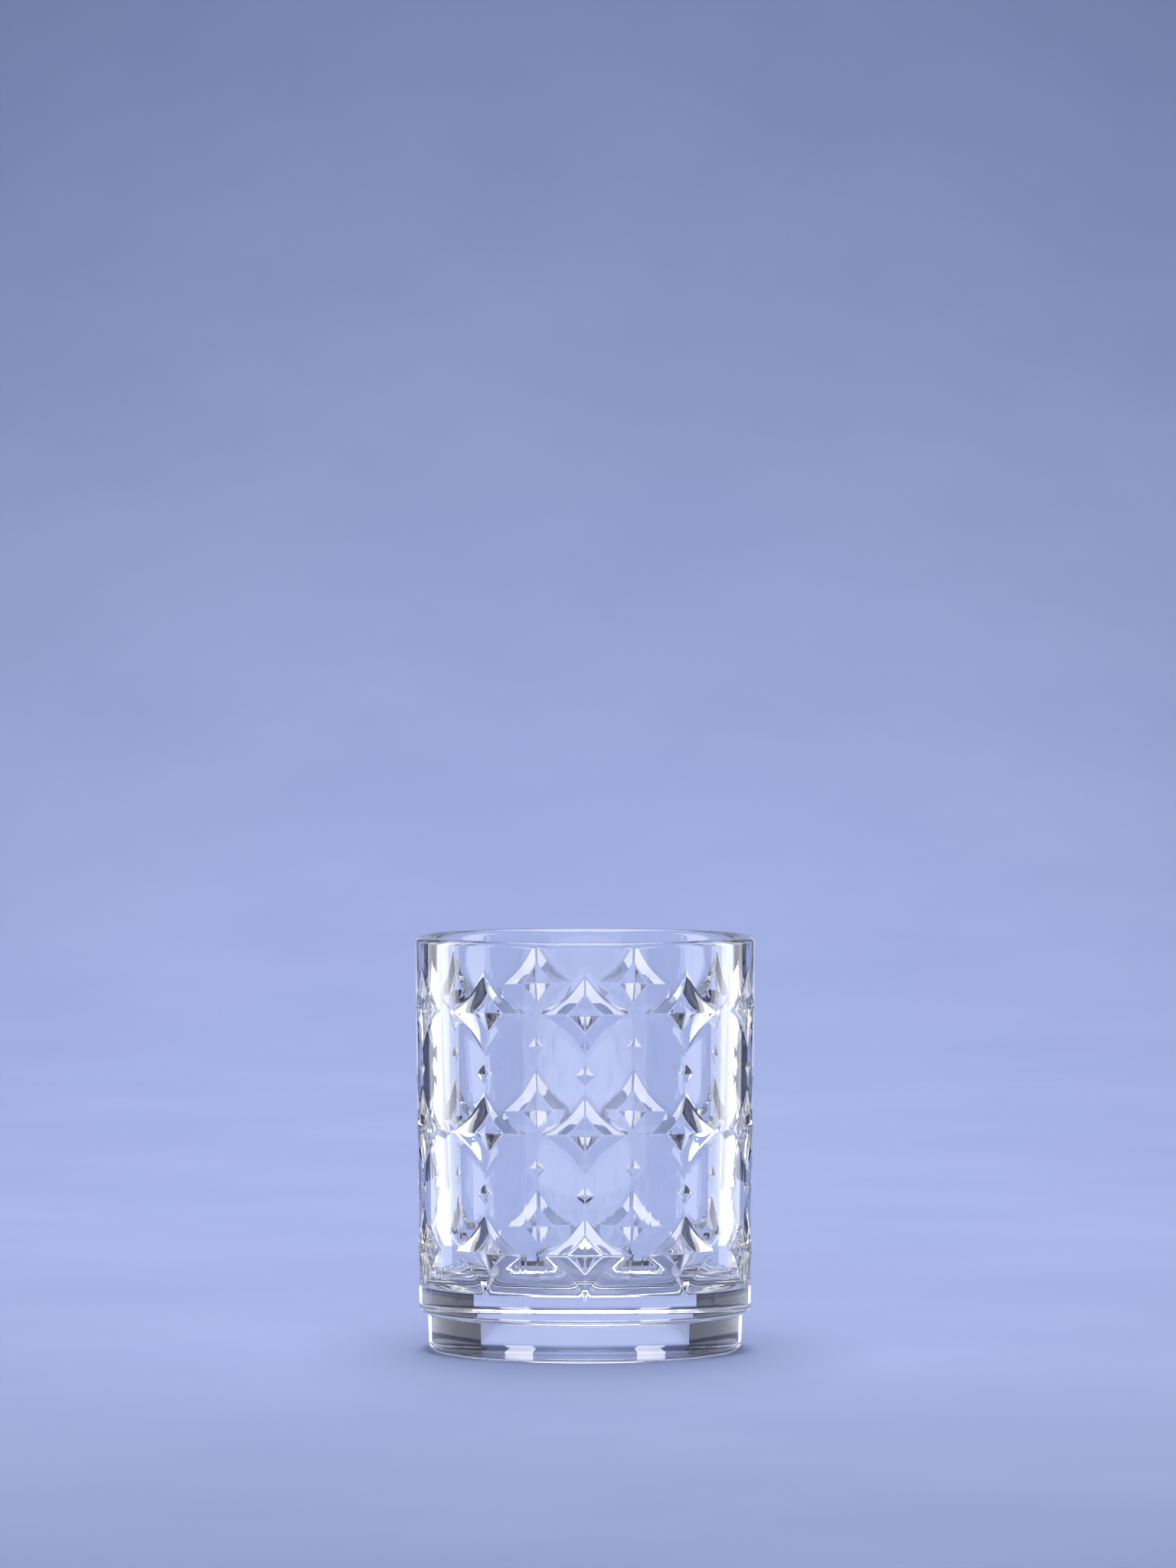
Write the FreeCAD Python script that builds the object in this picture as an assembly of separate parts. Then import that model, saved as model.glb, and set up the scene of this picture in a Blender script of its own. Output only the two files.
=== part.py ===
import FreeCAD, Part
import math
import os

# Whiskey tumbler in pressed glass: a straight, slightly tapered bowl with a relief of four-pointed stars,
# a thick floor, and a narrower stepped foot.
#
# The real tumbler is one piece of glass, pressed in one stroke. It is written here as four solids that meet
# face to face on level planes, so that every zone has a simple shape: foot, base, wall and rim. Nothing moves.
#
# Frame: millimetres, +Z up, origin at the centre of the foot's underside, on the surface that the glass
# stands on. The first column of stars faces -Y.

# Outside
HEIGHT = 100.0
RIM_RADIUS = 41.0
WALL_FOOT_RADIUS = 40.1  # where the wall ends, above the foot
FOOT_TOP_RADIUS = 38.0
FOOT_SOLE_RADIUS = 37.75
FOOT_HEIGHT = 9.2

# Underside: hollowed a little, so that the glass stands on a ring
SOLE_RECESS_RADIUS = 33.5
SOLE_RECESS_DEPTH = 1.0
SOLE_RING_INNER_RADIUS = 34.5

# Inside of the bowl: a gentle taper that steepens below the bend
LIP_INNER_RADIUS = 36.85
BEND_RADIUS = 35.65
BEND_HEIGHT = 56.0
FLOOR_RADIUS = 34.35
FLOOR_HEIGHT = 15.3

# Rounded corners of the section
SOLE_ROUND = 0.8
FOOT_EDGE_ROUND = 1.8
STEP_INNER_ROUND = 0.5
STEP_OUTER_ROUND = 1.3
LIP_OUTER_ROUND = 1.4
LIP_INNER_ROUND = 1.7
BEND_ROUND = 500.0
FLOOR_ROUND = 7.5

# Relief: columns of three stars, with a small diamond between two stars of a column
COLUMN_AZIMUTHS = (0, 36, 74, 117, 161, 199, 243, 286, 324)  # degrees, from -Y towards +X
ROW_HEIGHTS = (25.7, 54.3, 82.9)
RELIEF_RADIUS = 40.55  # the wall's outer radius at the middle row
STAR_HALF_WIDTH = 9.8
STAR_HALF_HEIGHT = 9.3
STAR_SIDE_SAG = 0.9  # how far each side of a star bows in from straight
STAR_DEPTH = 1.7  # of the valley that runs round inside a star
VALLEY_HALF_WIDTH = 4.6
VALLEY_HALF_HEIGHT = 4.7
PEAK_DEPTH = 0.1  # the pyramid in the star stops this far under the surface
DIAMOND_HALF_WIDTH = 2.45
DIAMOND_HALF_HEIGHT = 2.65
DIAMOND_DEPTH = 0.9

# Zones of the glass, from the foot up: name, lower plane, upper plane
RIM_PLANE = 94.0
ZONES = (
    ("foot", 0.0, FOOT_HEIGHT),
    ("base", FOOT_HEIGHT, FLOOR_HEIGHT),
    ("wall", FLOOR_HEIGHT, RIM_PLANE),
    ("rim", RIM_PLANE, HEIGHT),
)
SLAB_RADIUS = 60.0

OVERCUT = 0.4  # a cutter's slopes run on past the surface by this share of their depth
CAP_DEPTH = -4.0  # a cutter's outer end, above the surface

Z_AXIS = FreeCAD.Vector(0, 0, 1)
ORIGIN = FreeCAD.Vector(0, 0, 0)


def rounded_wire(corners):
    """A closed wire in the XZ plane through corners (x, z, round); each round is a tangent arc."""
    points = [FreeCAD.Vector(x, 0, z) for x, z, _ in corners]
    count = len(points)
    starts = []
    ends = []
    arcs = []
    for i in range(count):
        here = points[i]
        radius = corners[i][2]
        if radius == 0:
            starts.append(here)
            ends.append(here)
            arcs.append(None)
            continue
        back = (points[i - 1] - here).normalize()
        on = (points[(i + 1) % count] - here).normalize()
        half = back.getAngle(on) / 2
        reach = radius / math.tan(half)
        bisector = (back + on).normalize()
        middle = here + bisector * (radius / math.sin(half) - radius)
        starts.append(here + back * reach)
        ends.append(here + on * reach)
        arcs.append(Part.Arc(starts[i], middle, ends[i]).toShape())
    edges = []
    for i in range(count):
        if arcs[i]:
            edges.append(arcs[i])
        edges.append(Part.LineSegment(ends[i], starts[(i + 1) % count]).toShape())
    return Part.Wire(edges)


def plain_glass():
    """The whole tumbler without its relief, turned from one section."""
    section = rounded_wire([
        (0, SOLE_RECESS_DEPTH, 0),
        (SOLE_RECESS_RADIUS, SOLE_RECESS_DEPTH, SOLE_ROUND),
        (SOLE_RING_INNER_RADIUS, 0, SOLE_ROUND),
        (FOOT_SOLE_RADIUS, 0, FOOT_EDGE_ROUND),
        (FOOT_TOP_RADIUS, FOOT_HEIGHT, STEP_INNER_ROUND),
        (WALL_FOOT_RADIUS, FOOT_HEIGHT, STEP_OUTER_ROUND),
        (RIM_RADIUS, HEIGHT, LIP_OUTER_ROUND),
        (LIP_INNER_RADIUS, HEIGHT, LIP_INNER_ROUND),
        (BEND_RADIUS, BEND_HEIGHT, BEND_ROUND),
        (FLOOR_RADIUS, FLOOR_HEIGHT, FLOOR_ROUND),
        (0, FLOOR_HEIGHT, 0),
    ])
    return Part.Face(section).revolve(ORIGIN, Z_AXIS, 360)


def outside_radius(z):
    """Outer radius of the wall at height z."""
    share = (z - FOOT_HEIGHT) / (HEIGHT - FOOT_HEIGHT)
    return WALL_FOOT_RADIUS + share * (RIM_RADIUS - WALL_FOOT_RADIUS)


def wall_point(azimuth, height, across, up, depth):
    """A point of the relief: across and up from a motif's centre, depth below the wall's surface."""
    turn = math.radians(azimuth) + across / RELIEF_RADIUS
    radius = outside_radius(height + up) - depth
    return FreeCAD.Vector(radius * math.sin(turn), -radius * math.cos(turn), height + up)


def ring_edges(azimuth, height, half_width, half_height, depth, sag=0.0):
    """Four edges round a motif, from tip to tip; with a sag each one is an arc that bows in."""
    corners = [(half_width, 0), (0, half_height), (-half_width, 0), (0, -half_height)]
    points = [wall_point(azimuth, height, x, z, depth) for x, z in corners]
    edges = []
    for i in range(4):
        start = points[i]
        end = points[(i + 1) % 4]
        if sag == 0:
            edges.append(Part.LineSegment(start, end).toShape())
            continue
        x = (corners[i][0] + corners[(i + 1) % 4][0]) / 2
        z = (corners[i][1] + corners[(i + 1) % 4][1]) / 2
        inward = 1 - sag / math.hypot(x, z)
        middle = wall_point(azimuth, height, x * inward, z * inward, depth)
        edges.append(Part.Arc(start, middle, end).toShape())
    return edges


def fan(edges, point):
    """Flat triangles from straight edges to one point."""
    faces = []
    for edge in edges:
        start = edge.Vertexes[0].Point
        end = edge.Vertexes[1].Point
        faces.append(Part.Face(Part.makePolygon([start, end, point, start])))
    return faces


def bands(upper_edges, lower_edges):
    """Ruled faces between two rings of edges."""
    return [Part.makeRuledSurface(a, b) for a, b in zip(upper_edges, lower_edges)]


def cutter(faces):
    """One closed solid from its faces."""
    solid = Part.Solid(Part.makeShell(faces))
    if solid.Volume < 0:
        solid.reverse()
    return solid


def star_cutter(azimuth, height):
    """What is pressed out for one star: four slopes down to a valley, and a pyramid that rises inside it."""
    widen = 1 + OVERCUT
    mouth_width = VALLEY_HALF_WIDTH + (STAR_HALF_WIDTH - VALLEY_HALF_WIDTH) * widen
    mouth_height = VALLEY_HALF_HEIGHT + (STAR_HALF_HEIGHT - VALLEY_HALF_HEIGHT) * widen
    top = ring_edges(azimuth, height, mouth_width, mouth_height, CAP_DEPTH)
    mouth = ring_edges(azimuth, height, mouth_width, mouth_height, -STAR_DEPTH * OVERCUT, STAR_SIDE_SAG * widen)
    valley = ring_edges(azimuth, height, VALLEY_HALF_WIDTH, VALLEY_HALF_HEIGHT, STAR_DEPTH)
    lid = fan(top, wall_point(azimuth, height, 0, 0, CAP_DEPTH))
    pyramid = fan(valley, wall_point(azimuth, height, 0, 0, PEAK_DEPTH))
    return cutter(lid + bands(top, mouth) + bands(mouth, valley) + pyramid)


def diamond_cutter(azimuth, height):
    """What is pressed out for one small diamond: a plain four-sided pit."""
    widen = 1 + OVERCUT
    mouth = ring_edges(
        azimuth, height, DIAMOND_HALF_WIDTH * widen, DIAMOND_HALF_HEIGHT * widen, -DIAMOND_DEPTH * OVERCUT
    )
    lid = fan(mouth, wall_point(azimuth, height, 0, 0, CAP_DEPTH))
    pit = fan(mouth, wall_point(azimuth, height, 0, 0, DIAMOND_DEPTH))
    return cutter(lid + pit)


def relief_cutters():
    """Every star and diamond, column by column."""
    cutters = []
    for azimuth in COLUMN_AZIMUTHS:
        for height in ROW_HEIGHTS:
            cutters.append(star_cutter(azimuth, height))
        for below, above in zip(ROW_HEIGHTS, ROW_HEIGHTS[1:]):
            cutters.append(diamond_cutter(azimuth, (below + above) / 2))
    return cutters


def zone(glass, low, high):
    """The slice of the glass between two level planes."""
    slab = Part.makeCylinder(SLAB_RADIUS, high - low, FreeCAD.Vector(0, 0, low))
    return glass.common(slab)


def main():
    os.makedirs("parts", exist_ok=True)
    glass = plain_glass()
    for name, low, high in ZONES:
        shape = zone(glass, low, high)
        if name == "wall":
            shape = shape.cut(relief_cutters())
        solid = shape.Solids[0]
        solid.exportStep(f"parts/{name}.step")
        print(name, "solids", len(shape.Solids), "faces", len(solid.Faces), "valid", solid.isValid())


main()
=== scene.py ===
# %% [markdown]
# # A pressed-glass whiskey tumbler
#
# The tumbler is one piece of clear glass. Molten glass is dropped into an iron mould and pressed with a
# plunger: the plunger leaves a plain, smooth bowl inside, and the mould leaves a relief of stars outside. A
# flame then runs over the glass and softens every edge. This lesson builds it in much the same order: a plain
# glass turned from its section, a relief with softened ridges pressed into it, the glass itself, the studio.
#
# Everything is in metres, +Z is up, and the glass stands on the origin with one column of stars towards -Y.

# %% Load the frame
import math

import bpy
import mathutils
import mathutils.bvhtree
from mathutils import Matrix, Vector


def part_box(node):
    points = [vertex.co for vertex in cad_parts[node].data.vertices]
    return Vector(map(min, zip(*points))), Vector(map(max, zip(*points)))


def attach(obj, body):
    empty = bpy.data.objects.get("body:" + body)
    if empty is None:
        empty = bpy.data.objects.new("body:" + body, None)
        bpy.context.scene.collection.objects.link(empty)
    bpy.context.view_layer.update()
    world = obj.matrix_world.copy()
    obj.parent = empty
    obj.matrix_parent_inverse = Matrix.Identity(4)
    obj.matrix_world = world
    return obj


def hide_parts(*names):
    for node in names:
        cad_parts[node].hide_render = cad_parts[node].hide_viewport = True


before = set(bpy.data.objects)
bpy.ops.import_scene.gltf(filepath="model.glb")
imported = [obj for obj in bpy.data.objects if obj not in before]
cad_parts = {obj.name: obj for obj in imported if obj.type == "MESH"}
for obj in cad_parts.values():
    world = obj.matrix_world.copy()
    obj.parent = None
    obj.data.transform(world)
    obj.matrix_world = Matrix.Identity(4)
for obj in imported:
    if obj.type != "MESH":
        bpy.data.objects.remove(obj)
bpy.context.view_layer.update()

# %% [markdown]
# ## Sizes
#
# A turned piece of glass is described by its section, a short list of corners, each with the radius of its
# rounding. The heights of the zones come from the frame, so that the visible glass and the solids agree.

# %% Sizes of the section
MM = 0.001
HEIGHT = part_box("rim")[1][2]
FLOOR_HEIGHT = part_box("base")[1][2]
FOOT_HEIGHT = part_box("foot")[1][2]
RIM_RADIUS = 41.0 * MM
WALL_FOOT_RADIUS = 40.1 * MM
SOLE_RECESS_DEPTH = 1.0 * MM

SECTION = [  # distance from the axis, height, rounding
    (0, SOLE_RECESS_DEPTH, 0),
    (33.5 * MM, SOLE_RECESS_DEPTH, 0.8 * MM),
    (34.5 * MM, 0, 0.8 * MM),
    (37.75 * MM, 0, 1.8 * MM),
    (38.0 * MM, FOOT_HEIGHT, 0.5 * MM),
    (WALL_FOOT_RADIUS, FOOT_HEIGHT, 1.3 * MM),
    (RIM_RADIUS, HEIGHT, 1.4 * MM),
    (36.85 * MM, HEIGHT, 1.7 * MM),
    (35.65 * MM, 56.0 * MM, 500 * MM),
    (34.35 * MM, FLOOR_HEIGHT, 7.5 * MM),
    (0, FLOOR_HEIGHT, 0),
]
ROUND_SEGMENTS = 8
TURN_STEPS = 360

# %% [markdown]
# ## Helpers
#
# Edit-mode operators act on what is selected, so the lesson needs two small habits: start every new piece
# with nothing selected, and pick vertices by their place.

# %% Selection helpers
def clear_selection():
    """Nothing selected and object mode, so that the next operator touches only what it should."""
    if bpy.context.mode != "OBJECT":
        bpy.ops.object.mode_set(mode="OBJECT")
    bpy.ops.object.select_all(action="DESELECT")


def make_active(piece):
    clear_selection()
    piece.select_set(True)
    bpy.context.view_layer.objects.active = piece


def pick_vertices(piece, wanted):
    """In edit mode, selects exactly the vertices whose place satisfies wanted(co)."""
    bpy.ops.mesh.select_mode(type="VERT")
    bpy.ops.mesh.select_all(action="DESELECT")
    bpy.ops.object.mode_set(mode="OBJECT")
    for vertex in piece.data.vertices:
        vertex.select = bool(wanted(vertex.co))
    bpy.ops.object.mode_set(mode="EDIT")


def near(place, tolerance=1e-5):
    """A test for vertices at one place."""
    spot = mathutils.Vector(place)
    return lambda co: (co - spot).length < tolerance


def apply_modifier(piece, kind, **settings):
    """Adds a modifier, sets it and applies it, as with the Apply button."""
    make_active(piece)
    bpy.ops.object.modifier_add(type=kind)
    modifier = piece.modifiers[-1]
    for name, value in settings.items():
        setattr(modifier, name, value)
    bpy.ops.object.modifier_apply(modifier=modifier.name)


def count(piece):
    return {"vertices": len(piece.data.vertices), "faces": len(piece.data.polygons)}

# %% [markdown]
# ## The plain glass
#
# A tumbler without its relief is a turned shape. It could be a stack of extruded rings, but a section that
# is drawn once and spun round the axis keeps every rounding exact. The section is drawn as a line: a single
# vertex is extruded from corner to corner, and then each corner vertex is bevelled to its rounding.

# %% Draw the section
def rounding_reach(before, here, after, radius):
    """How far a rounding of this radius reaches along both lines from its corner."""
    back = (before - here).normalized()
    on = (after - here).normalized()
    return radius / math.tan(back.angle(on) / 2)


def draw_section(corners):
    clear_selection()
    bpy.ops.mesh.primitive_plane_add(size=MM)
    section = bpy.context.object
    bpy.ops.object.mode_set(mode="EDIT")
    bpy.ops.mesh.select_all(action="SELECT")
    bpy.ops.mesh.merge(type="CENTER")
    places = [mathutils.Vector((x, 0, z)) for x, z, _ in corners]
    bpy.ops.transform.translate(value=places[0])
    for start, end in zip(places, places[1:]):
        bpy.ops.mesh.extrude_region_move(TRANSFORM_OT_translate={"value": end - start})
    for i in range(1, len(corners) - 1):
        pick_vertices(section, near(places[i]))
        reach = rounding_reach(places[i - 1], places[i], places[i + 1], corners[i][2])
        bpy.ops.mesh.bevel(offset_type="OFFSET", offset=reach, segments=ROUND_SEGMENTS, affect="VERTICES")
    return section


tumbler = draw_section(SECTION)
tumbler.name = "glass_tumbler"
tumbler.data.name = "glass_tumbler"
bpy.ops.object.mode_set(mode="OBJECT")
print("section", count(tumbler))

# %% [markdown]
# The section is now a line from the axis round the whole profile and back to the axis. Spinning it through
# a full turn makes a closed skin: the first and last copies meet and are merged, and so are the two ends on
# the axis. The normals are then turned outwards, since light has to know which side is glass.

# %% Spin the section round the axis
def spin_closed(piece, steps):
    bpy.ops.object.mode_set(mode="EDIT")
    bpy.ops.mesh.select_all(action="SELECT")
    bpy.ops.mesh.spin(steps=steps, angle=2 * math.pi, center=(0, 0, 0), axis=(0, 0, 1))
    bpy.ops.mesh.select_all(action="SELECT")
    bpy.ops.mesh.remove_doubles(threshold=1e-6)
    bpy.ops.mesh.normals_make_consistent(inside=False)
    bpy.ops.object.mode_set(mode="OBJECT")


spin_closed(tumbler, TURN_STEPS)
print("plain glass", count(tumbler), "size", [round(v * 1000, 2) for v in tumbler.dimensions])

# %% [markdown]
# ## One star, as a cutter
#
# The mould stands proud where the star is pressed in, so a star can be made as that piece of mould: a plug
# that is then subtracted from the glass. Its face has four long slopes that drop from a slightly bowed
# outline to a square valley, a low pyramid inside the valley, and a shallow flare round the outline where
# the flame has opened the edge. A diamond is the same kind of plug, with one ring and a pit.

# %% Sizes of the relief
RELIEF_RADIUS = 40.55 * MM
SIDE_CUTS = 5
PLUG_TOP = -3.0 * MM

STAR_RINGS = [  # half width, half height, depth, how far the sides bow in
    (11.9 * MM, 11.3 * MM, -0.05 * MM, 0),
    (9.8 * MM, 9.3 * MM, 0.20 * MM, 0.9 * MM),
    (4.6 * MM, 4.7 * MM, 1.7 * MM, 0.3 * MM),
]
STAR_PEAK_DEPTH = 0.0 * MM
DIAMOND_RINGS = [
    (2.6 * MM, 2.8 * MM, -0.05 * MM, 0),
]
DIAMOND_PIT_DEPTH = 0.9 * MM
EDGE_SOFTNESS = 0.3 * MM

# %% [markdown]
# The plug is an outline that is extruded towards the glass, ring by ring, and closed at a point. It is drawn
# flat, with X across, Z up and Y into the glass, and bent to the wall's curve afterwards. Each side gets a
# few extra vertices, so that it can bow and bend.

# %% Build the plugs
def draw_plug(name, rings, point_depth):
    """A four-sided plug: a lid above the glass, rings that step into it, and a point in the middle."""
    clear_selection()
    upright = (math.pi / 2, 0, 0)
    bpy.ops.mesh.primitive_circle_add(vertices=4, radius=1, fill_type="NOTHING", rotation=upright)
    plug = bpy.context.object
    plug.name = name
    bpy.ops.object.transform_apply(location=False, rotation=True, scale=False)
    bpy.ops.object.mode_set(mode="EDIT")
    bpy.ops.mesh.select_all(action="SELECT")
    half_width, half_height = rings[0][:2]
    bpy.ops.transform.resize(value=(half_width, 1, half_height))
    bpy.ops.transform.translate(value=(0, PLUG_TOP, 0))
    bpy.ops.mesh.subdivide(number_cuts=SIDE_CUTS)
    bpy.ops.mesh.edge_face_add()
    last = (half_width, half_height, PLUG_TOP)
    for ring in rings:
        step = (0, ring[2] - last[2], 0)
        bpy.ops.mesh.extrude_region_move(TRANSFORM_OT_translate={"value": step})
        bpy.ops.transform.resize(value=(ring[0] / last[0], 1, ring[1] / last[1]))
        last = ring
    step = (0, point_depth - last[2], 0)
    bpy.ops.mesh.extrude_region_move(TRANSFORM_OT_translate={"value": step})
    bpy.ops.mesh.merge(type="CENTER")
    bpy.ops.object.mode_set(mode="OBJECT")
    return plug


star_plug = draw_plug("star_plug", STAR_RINGS, STAR_PEAK_DEPTH)
diamond_plug = draw_plug("diamond_plug", DIAMOND_RINGS, DIAMOND_PIT_DEPTH)
print("star", count(star_plug), "diamond", count(diamond_plug))

# %% [markdown]
# The slopes of the real star bow in towards its middle, like the sides of a star cut between four circles.
# The rings that carry the outline and the valley are still straight, so the vertices along their sides are
# drawn in towards the centre, most at mid-side and not at all at the tips. A bevel then softens the ridges,
# as the flame does.

# %% Bow the star's sides and soften its ridges
def bow_sides(plug, ring):
    """Draws the sides of one ring in towards its centre, in steps that share one place along the side."""
    half_width, half_height, depth, sag = ring
    make_active(plug)
    bpy.ops.object.mode_set(mode="EDIT")
    for step in range(1, SIDE_CUTS + 1):
        along = step / (SIDE_CUTS + 1)
        x = half_width * (1 - along)
        z = half_height * along
        at_this_step = near((x, depth, z), tolerance=1e-6)
        pick_vertices(plug, lambda co: at_this_step(mathutils.Vector((abs(co.x), co.y, abs(co.z)))))
        factor = 1 - 4 * sag * along * (1 - along) / math.hypot(x, z)
        bpy.ops.transform.resize(value=(factor, 1, factor))
    bpy.ops.object.mode_set(mode="OBJECT")


for ring in STAR_RINGS[1:]:
    bow_sides(star_plug, ring)


RIDGE_ANGLE = math.radians(5)


def soften_ridges(plug, width):
    """Bevels every ridge and valley of the plug's face; joints between coplanar faces are left alone."""
    make_active(plug)
    bpy.ops.object.mode_set(mode="EDIT")
    bpy.ops.mesh.select_all(action="SELECT")
    bpy.ops.mesh.normals_make_consistent(inside=False)
    bpy.ops.mesh.select_mode(type="EDGE")
    bpy.ops.mesh.select_all(action="DESELECT")
    bpy.ops.mesh.edges_select_sharp(sharpness=RIDGE_ANGLE)
    bpy.ops.object.mode_set(mode="OBJECT")
    for edge in plug.data.edges:
        if min(plug.data.vertices[i].co.y for i in edge.vertices) < PLUG_TOP / 2:
            edge.select = False
    bpy.ops.object.mode_set(mode="EDIT")
    bpy.ops.mesh.bevel(offset=width, segments=3, affect="EDGES", clamp_overlap=True)
    bpy.ops.object.mode_set(mode="OBJECT")


soften_ridges(star_plug, EDGE_SOFTNESS)
soften_ridges(diamond_plug, EDGE_SOFTNESS)
print("star", count(star_plug), "diamond", count(diamond_plug))

# %% [markdown]
# ## Wrap the plugs round the wall
#
# Each plug is bent to the wall's curve with a Simple Deform modifier. Three stars and two diamonds make a
# column, leaned with the wall's slight taper, and nine copies of the column stand round the glass, not quite
# evenly.

# %% Bend, stack and copy
COLUMN_AZIMUTHS = (0, 36, 74, 117, 161, 199, 243, 286, 324)
ROW_HEIGHTS = (25.7 * MM, 54.3 * MM, 82.9 * MM)
TAPER = math.atan2(RIM_RADIUS - WALL_FOOT_RADIUS, HEIGHT - FOOT_HEIGHT)


def wall_radius(z):
    """Outer radius of the plain wall at height z."""
    share = (z - FOOT_HEIGHT) / (HEIGHT - FOOT_HEIGHT)
    return WALL_FOOT_RADIUS + share * (RIM_RADIUS - WALL_FOOT_RADIUS)


def bend_to_wall(plug):
    apply_modifier(plug, "SIMPLE_DEFORM", deform_method="BEND", deform_axis="Z",
                   angle=plug.dimensions.x / RELIEF_RADIUS)


def place_copy(plug, location=(0, 0, 0), rotation=(0, 0, 0)):
    """A copy with its own mesh, moved and turned, with its place applied to the mesh."""
    make_active(plug)
    bpy.ops.object.duplicate(linked=False)
    copy = bpy.context.object
    copy.location = location
    copy.rotation_euler = rotation
    bpy.ops.object.transform_apply(location=True, rotation=True, scale=True)
    return copy


def join(pieces, name):
    clear_selection()
    for piece in pieces:
        piece.select_set(True)
    bpy.context.view_layer.objects.active = pieces[0]
    bpy.ops.object.join()
    bpy.context.object.name = name
    return bpy.context.object


def remove(piece):
    make_active(piece)
    bpy.ops.object.delete()


bend_to_wall(star_plug)
bend_to_wall(diamond_plug)
star_depths = [vertex.co.y / MM for vertex in star_plug.data.vertices]
print("bent star reaches y", round(min(star_depths), 2), round(max(star_depths), 2))
plugs = []
for height in ROW_HEIGHTS:
    plugs.append(place_copy(star_plug, (0, -wall_radius(height), height), (TAPER, 0, 0)))
for below, above in zip(ROW_HEIGHTS, ROW_HEIGHTS[1:]):
    height = (below + above) / 2
    plugs.append(place_copy(diamond_plug, (0, -wall_radius(height), height), (TAPER, 0, 0)))
column = join(plugs, "column_of_plugs")
copies = [place_copy(column, rotation=(0, 0, math.radians(a))) for a in COLUMN_AZIMUTHS]
relief = join(copies, "relief")
for leftover in (star_plug, diamond_plug, column):
    remove(leftover)
print("relief", count(relief))

# %% [markdown]
# ## Press the relief
#
# A Boolean modifier subtracts the plugs from the plain glass. The cut leaves long facets beside the curved
# wall, and smooth shading alone would smear one into the other. Weighted Normals keeps each large facet flat
# while its narrow softened edges turn the corner. The wall between the stars gets its shading back from a
# plain copy of the glass with a Data Transfer modifier, so that reflections run straight down it.

# %% Subtract the plugs
SMOOTH_LIMIT = math.radians(50)
FACET_WEIGHT = 80


def plain_vertices(piece, plain):
    """The piece's vertices that still lie on the surface of the plain glass."""
    tree = mathutils.bvhtree.BVHTree.FromObject(plain, bpy.context.evaluated_depsgraph_get())
    return [v.index for v in piece.data.vertices if tree.find_nearest(v.co)[3] < 1e-6]


make_active(tumbler)
bpy.ops.object.shade_smooth_by_angle(angle=SMOOTH_LIMIT)
plain = place_copy(tumbler)
apply_modifier(tumbler, "BOOLEAN", operation="DIFFERENCE", object=relief, solver="EXACT")
make_active(tumbler)
bpy.ops.object.shade_smooth_by_angle(angle=SMOOTH_LIMIT)
apply_modifier(tumbler, "WEIGHTED_NORMAL", mode="FACE_AREA", weight=FACET_WEIGHT, keep_sharp=True)
unpressed = tumbler.vertex_groups.new(name="unpressed")
unpressed.add(plain_vertices(tumbler, plain), 1.0, "REPLACE")
apply_modifier(tumbler, "DATA_TRANSFER", object=plain, vertex_group="unpressed", use_loop_data=True,
               data_types_loops={"CUSTOM_NORMAL"}, loop_mapping="POLYINTERP_NEAREST")
tumbler.vertex_groups.clear()
remove(relief)
remove(plain)
print("pressed glass", count(tumbler))

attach(tumbler, "root")
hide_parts("foot", "base", "wall", "rim")

# %% [markdown]
# ## Clear glass
#
# Pressed glass is colourless, with a trace of tint, and it's never quite flat: the mould chills the outside
# and the gob folds into faint upright cords. A perfectly smooth shader would miss both. The cords are a noise
# texture that is stretched along Z in Object coordinates. It drives a very shallow bump, so that highlights
# waver as they run down the wall, and it moves the tint a little between two near-white values.

# %% The glass
GLASS_IOR = 1.5
CORD_STRETCH = (160, 160, 14)
CORD_HEIGHT = 0.012 * MM
GLASS_TINTS = ((0.975, 0.983, 0.995), (0.995, 0.997, 1.0))


def new_material(name):
    material = bpy.data.materials.new(name)
    material.use_nodes = True
    nodes = material.node_tree.nodes
    shader = next(n for n in nodes if n.type == "BSDF_PRINCIPLED")
    return material, nodes, material.node_tree.links, shader


def object_noise(nodes, links, stretch, detail):
    """Noise in Object coordinates, with its own scale along each axis."""
    coordinates = nodes.new("ShaderNodeTexCoord")
    mapping = nodes.new("ShaderNodeMapping")
    mapping.inputs["Scale"].default_value = stretch
    noise = nodes.new("ShaderNodeTexNoise")
    noise.inputs["Scale"].default_value = 1.0
    noise.inputs["Detail"].default_value = detail
    links.new(coordinates.outputs["Object"], mapping.inputs["Vector"])
    links.new(mapping.outputs["Vector"], noise.inputs["Vector"])
    return noise.outputs["Fac"]


def two_colours(nodes, links, factor, low, high):
    """A ramp between two colours over the middle of a noise texture's range."""
    ramp = nodes.new("ShaderNodeValToRGB")
    ramp.color_ramp.elements[0].position = 0.35
    ramp.color_ramp.elements[1].position = 0.65
    ramp.color_ramp.elements[0].color = (*low, 1)
    ramp.color_ramp.elements[1].color = (*high, 1)
    links.new(factor, ramp.inputs["Fac"])
    return ramp.outputs["Color"]


def add_bump(nodes, links, shader, height, distance):
    bump = nodes.new("ShaderNodeBump")
    bump.inputs["Strength"].default_value = 1.0
    bump.inputs["Distance"].default_value = distance
    links.new(height, bump.inputs["Height"])
    links.new(bump.outputs["Normal"], shader.inputs["Normal"])


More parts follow.
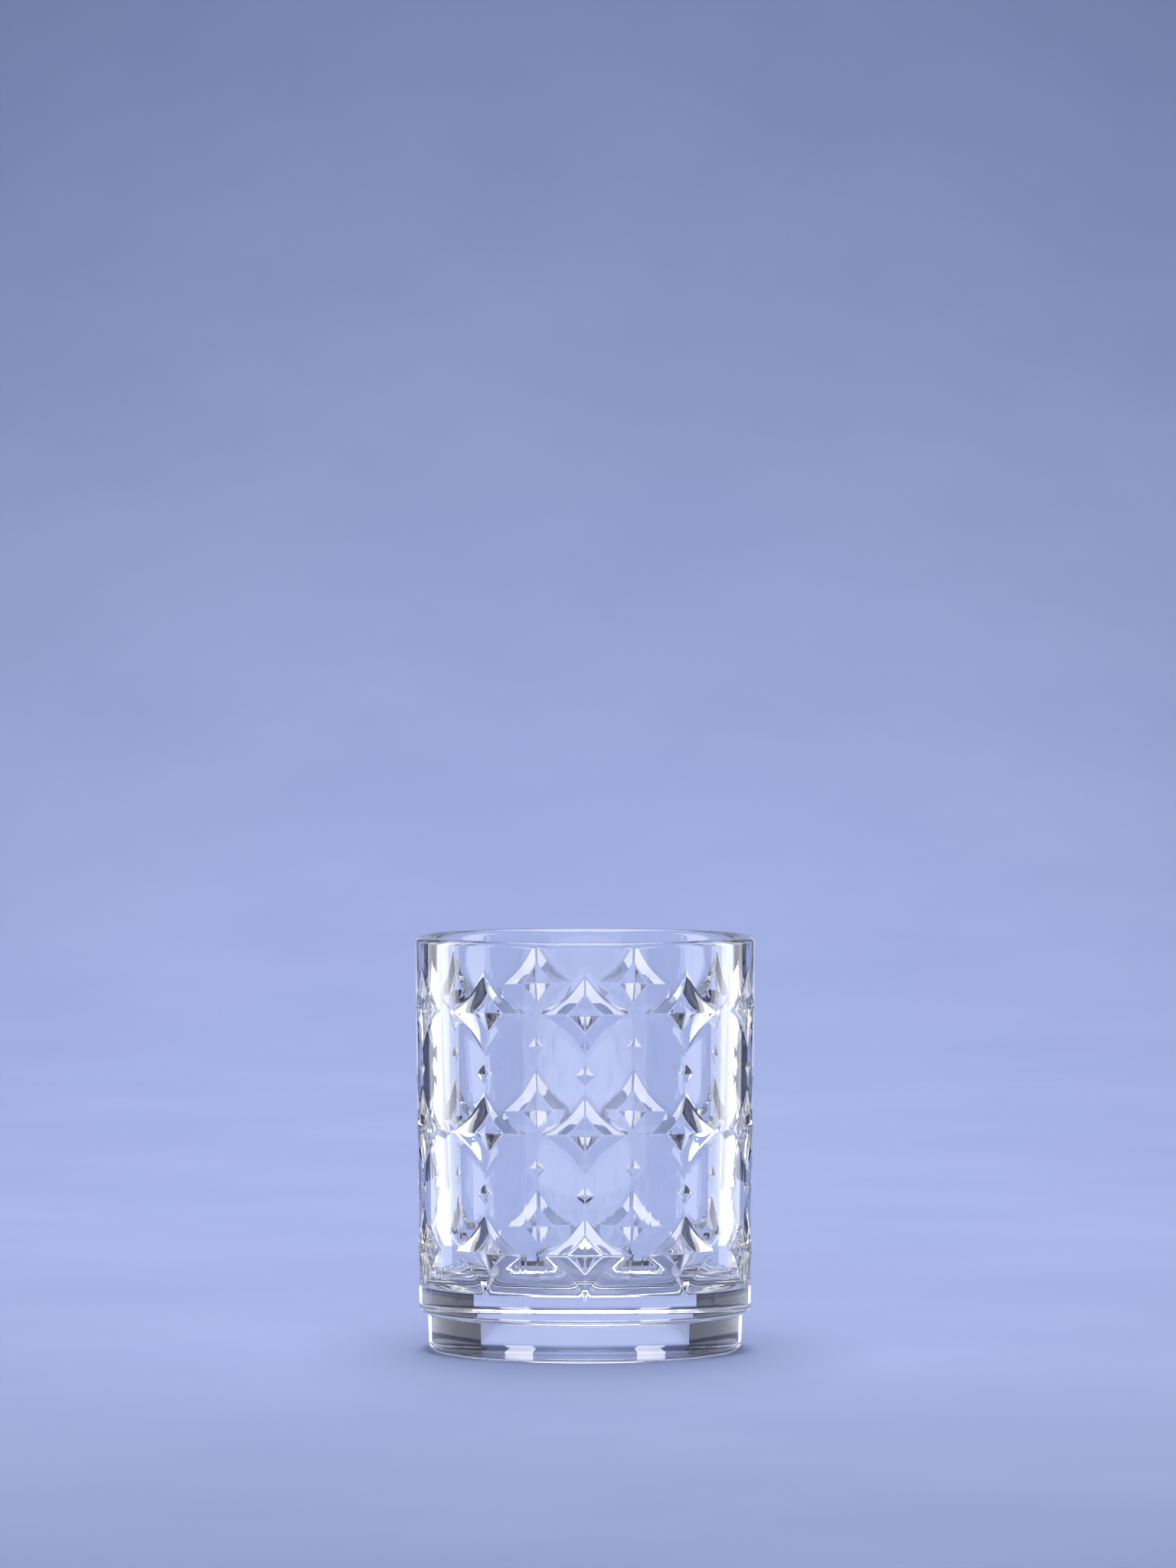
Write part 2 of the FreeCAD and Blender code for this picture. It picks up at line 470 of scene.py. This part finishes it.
clear_glass, nodes, links, shader = new_material("clear_glass")
cords = object_noise(nodes, links, CORD_STRETCH, 1.0)
tint = two_colours(nodes, links, cords, *GLASS_TINTS)
links.new(tint, shader.inputs["Base Color"])
add_bump(nodes, links, shader, cords, CORD_HEIGHT)
shader.inputs["Transmission Weight"].default_value = 1.0
shader.inputs["IOR"].default_value = GLASS_IOR
shader.inputs["Roughness"].default_value = 0.0
tumbler.data.materials.clear()
tumbler.data.materials.append(clear_glass)
print("clear_glass on", tumbler.name, "IOR", GLASS_IOR)

# %% [markdown]
# ## The studio floor
#
# A glass shows mostly what stands round it, so the backdrop is part of its look. A roll of periwinkle paper
# runs from under the glass to a wall behind it with one wide curve, so that no horizon shows. It's an L of
# two planes: the back edge of the floor is extruded up, and the corner is bevelled into the curve. The paper
# is mottled a little and has a fine grain.

# %% Floor and backdrop
SWEEP_SIZE = (5.2, 5.2, 2.0)
SWEEP_CURVE = 1.5
CURVE_SEGMENTS = 32
PAPER_BLUES = ((0.388, 0.457, 0.765), (0.412, 0.483, 0.795))
MOTTLE_SCALE = (9, 9, 9)
GRAIN_SCALE = (1500, 1500, 1500)
GRAIN_HEIGHT = 0.05 * MM


def draw_sweep(size, curve):
    width, depth, height = size
    clear_selection()
    bpy.ops.mesh.primitive_plane_add(size=1)
    sweep = bpy.context.object
    sweep.name = "studio_sweep"
    bpy.ops.object.mode_set(mode="EDIT")
    bpy.ops.mesh.select_all(action="SELECT")
    bpy.ops.transform.resize(value=(width, depth, 1))
    pick_vertices(sweep, lambda co: co.y > 0)
    bpy.ops.mesh.extrude_region_move(TRANSFORM_OT_translate={"value": (0, 0, height)})
    pick_vertices(sweep, lambda co: co.y > 0 and co.z < height / 2)
    bpy.ops.mesh.bevel(offset=curve, segments=CURVE_SEGMENTS, affect="EDGES")
    bpy.ops.object.mode_set(mode="OBJECT")
    bpy.ops.object.shade_smooth()
    return sweep


sweep = draw_sweep(SWEEP_SIZE, SWEEP_CURVE)
paper, nodes, links, shader = new_material("periwinkle_paper")
mottle = object_noise(nodes, links, MOTTLE_SCALE, 4.0)
links.new(two_colours(nodes, links, mottle, *PAPER_BLUES), shader.inputs["Base Color"])
grain = object_noise(nodes, links, GRAIN_SCALE, 2.0)
add_bump(nodes, links, shader, grain, GRAIN_HEIGHT)
shader.inputs["Roughness"].default_value = 0.9
shader.inputs["Specular IOR Level"].default_value = 0.2
sweep.data.materials.append(paper)
print("sweep", count(sweep))

# %% [markdown]
# ## Light for glass
#
# Two sets of light do two jobs. The paper is lit from above by a strip that runs over the glass, with a
# second lamp for the wall behind it, so that the backdrop is brightest low down and darkens upwards. The
# glass is lit by what it reflects and bends: tall softboxes close on either side draw the long white bands
# down the wall, narrow panels behind it whiten the facets that look up and out, and a low panel in front
# lifts the foot and the lower body.
#
# Every light is hidden from the camera, and the close ones are linked to the glass only.

# %% A helper for lights
def area_light(name, place, aim, size, radiance, spread=180, only=None):
    """A rectangular area light of a given radiance; with only, it lights one collection."""
    clear_selection()
    towards = mathutils.Vector(aim) - mathutils.Vector(place)
    turn = towards.to_track_quat("-Z", "Y").to_euler()
    bpy.ops.object.light_add(type="AREA", location=place, rotation=turn)
    light = bpy.context.object
    light.name = name
    light.data.shape = "RECTANGLE"
    light.data.size = size[0]
    light.data.size_y = size[1]
    light.data.energy = radiance * math.pi * size[0] * size[1]
    light.data.spread = math.radians(spread)
    light.visible_camera = False
    if only:
        light.light_linking.receiver_collection = only
    return light


def round_the_glass(azimuth, distance, height):
    """A place at an azimuth from +Y, behind the glass, towards +X."""
    turn = math.radians(azimuth)
    return distance * math.sin(turn), distance * math.cos(turn), height


# %% Lights that act on the glass
SIDE_LIGHTS = {  # azimuth, distance, height, size, radiance
    "softbox": (73, 0.15, 0.135, (0.07, 0.26), 2.6),
    "panel": (15.6, 0.60, 0.245, (0.08, 0.43), 0.55),
}
SIDES = ((-1, "left"), (1, "right"))

glass_only = bpy.data.collections.new("glass_only")
glass_only.objects.link(tumbler)
for side, side_name in SIDES:
    for kind, (azimuth, distance, height, size, radiance) in SIDE_LIGHTS.items():
        place = round_the_glass(side * azimuth, distance, height)
        area_light(kind + "_" + side_name, place, (0, 0, height), size, radiance, only=glass_only)
area_light("panel_front", (0, -0.35, 0.07), (0, 0, 0.07), (0.6, 0.14), 1.1, only=glass_only)

# %% Lights for the studio
STUDIO_LIGHTS = {  # place, aim, size, radiance, spread
    "overhead": ((0, 0.45, 1.2), (0, 0.45, 0), (0.7, 2.1), 2.4, 125),
    "backdrop_lamp": ((0, 1.25, 1.1), (0, 2.4, 0.5), (0.7, 0.5), 3.8, 180),
    "front_fill": ((0, -2.6, 1.0), (0, 0, 0.05), (3.0, 1.4), 1.0, 180),
}
STUDIO_DARK = (0.04, 0.05, 0.09, 1)

for name, settings in STUDIO_LIGHTS.items():
    area_light(name, *settings)
world = bpy.data.worlds.new("studio_dark")
world.use_nodes = True
world.node_tree.nodes["Background"].inputs["Color"].default_value = STUDIO_DARK
world.node_tree.nodes["Background"].inputs["Strength"].default_value = 1.0
bpy.context.scene.world = world
print("studio lights", list(STUDIO_LIGHTS), "world", world.name)

# %% [markdown]
# ## Black cards
#
# Clear glass on a pale ground needs dark edges or it melts away, so black cards stand beside it. Two tall
# cards darken the outer edges of the wall and the slopes that face outwards. Two low cards behind the foot,
# with a slit between them, fill the sides of the foot: the solid foot is a strong lens, and only the rays
# that cross the slit reach the bright paper. Like the close lights, the cards act on the glass alone.

# %% The card's black
CARD_BLACKS = ((0.02, 0.024, 0.04), (0.04, 0.046, 0.075))
FLECK_SCALE = (400, 400, 400)

card_black, nodes, links, shader = new_material("card_black")
flecks = object_noise(nodes, links, FLECK_SCALE, 2.0)
links.new(two_colours(nodes, links, flecks, *CARD_BLACKS), shader.inputs["Base Color"])
shader.inputs["Roughness"].default_value = 0.9
print("card_black has", len(nodes), "nodes")

# %% Stand the cards
CARD_AZIMUTH = 38
CARD_DISTANCE = 0.30
TALL_CARD_SIZE = (0.135, 0.5)
SLIT_HALF_WIDTH = 0.0055
LOW_CARD_SIZE = (0.032, 0.007)
LOW_CARD_DISTANCE = 0.053


def stand_card(name, place, size, azimuth=0):
    """An upright card that only the glass can see."""
    clear_selection()
    turn = (math.pi / 2, 0, math.radians(-azimuth))
    bpy.ops.mesh.primitive_plane_add(size=1, location=place, rotation=turn)
    card = bpy.context.object
    card.name = name
    card.scale = (size[0], size[1], 1)
    bpy.ops.object.transform_apply(location=True, rotation=True, scale=True)
    card.data.materials.append(card_black)
    card.visible_camera = False
    card.visible_diffuse = False
    card.visible_shadow = False


for side, side_name in SIDES:
    place = round_the_glass(side * CARD_AZIMUTH, CARD_DISTANCE, TALL_CARD_SIZE[1] / 2)
    stand_card("tall_card_" + side_name, place, TALL_CARD_SIZE, side * CARD_AZIMUTH)
    place = (side * (SLIT_HALF_WIDTH + LOW_CARD_SIZE[0] / 2), LOW_CARD_DISTANCE, LOW_CARD_SIZE[1] / 2)
    stand_card("low_card_" + side_name, place, LOW_CARD_SIZE)

# %% [markdown]
# ## The camera
#
# A long lens from 2 m away, a little above the rim: near-parallel lines keep the walls upright, and the rim
# shows as a thin ellipse. Light has to cross many surfaces of glass and bounce inside the thick base, so the
# bounce limits are raised; otherwise the base would fill with false black.

# %% Camera
CAMERA_PLACE = (0.0007, -2.0, 0.190)
CAMERA_TILT = math.radians(-1.53)
LENS = 190.4
GLASS_BOUNCES = 32

clear_selection()
bpy.ops.object.camera_add(location=CAMERA_PLACE, rotation=(math.pi / 2 + CAMERA_TILT, 0, 0))
camera = bpy.context.object
camera.data.lens = LENS
camera.data.sensor_width = 36
camera.data.clip_end = 20
scene = bpy.context.scene
scene.camera = camera
scene.view_settings.view_transform = "Standard"
scene.cycles.max_bounces = GLASS_BOUNCES
scene.cycles.transmission_bounces = GLASS_BOUNCES
scene.cycles.glossy_bounces = 16
print("camera at", tuple(round(v, 4) for v in camera.location), "lens", camera.data.lens)
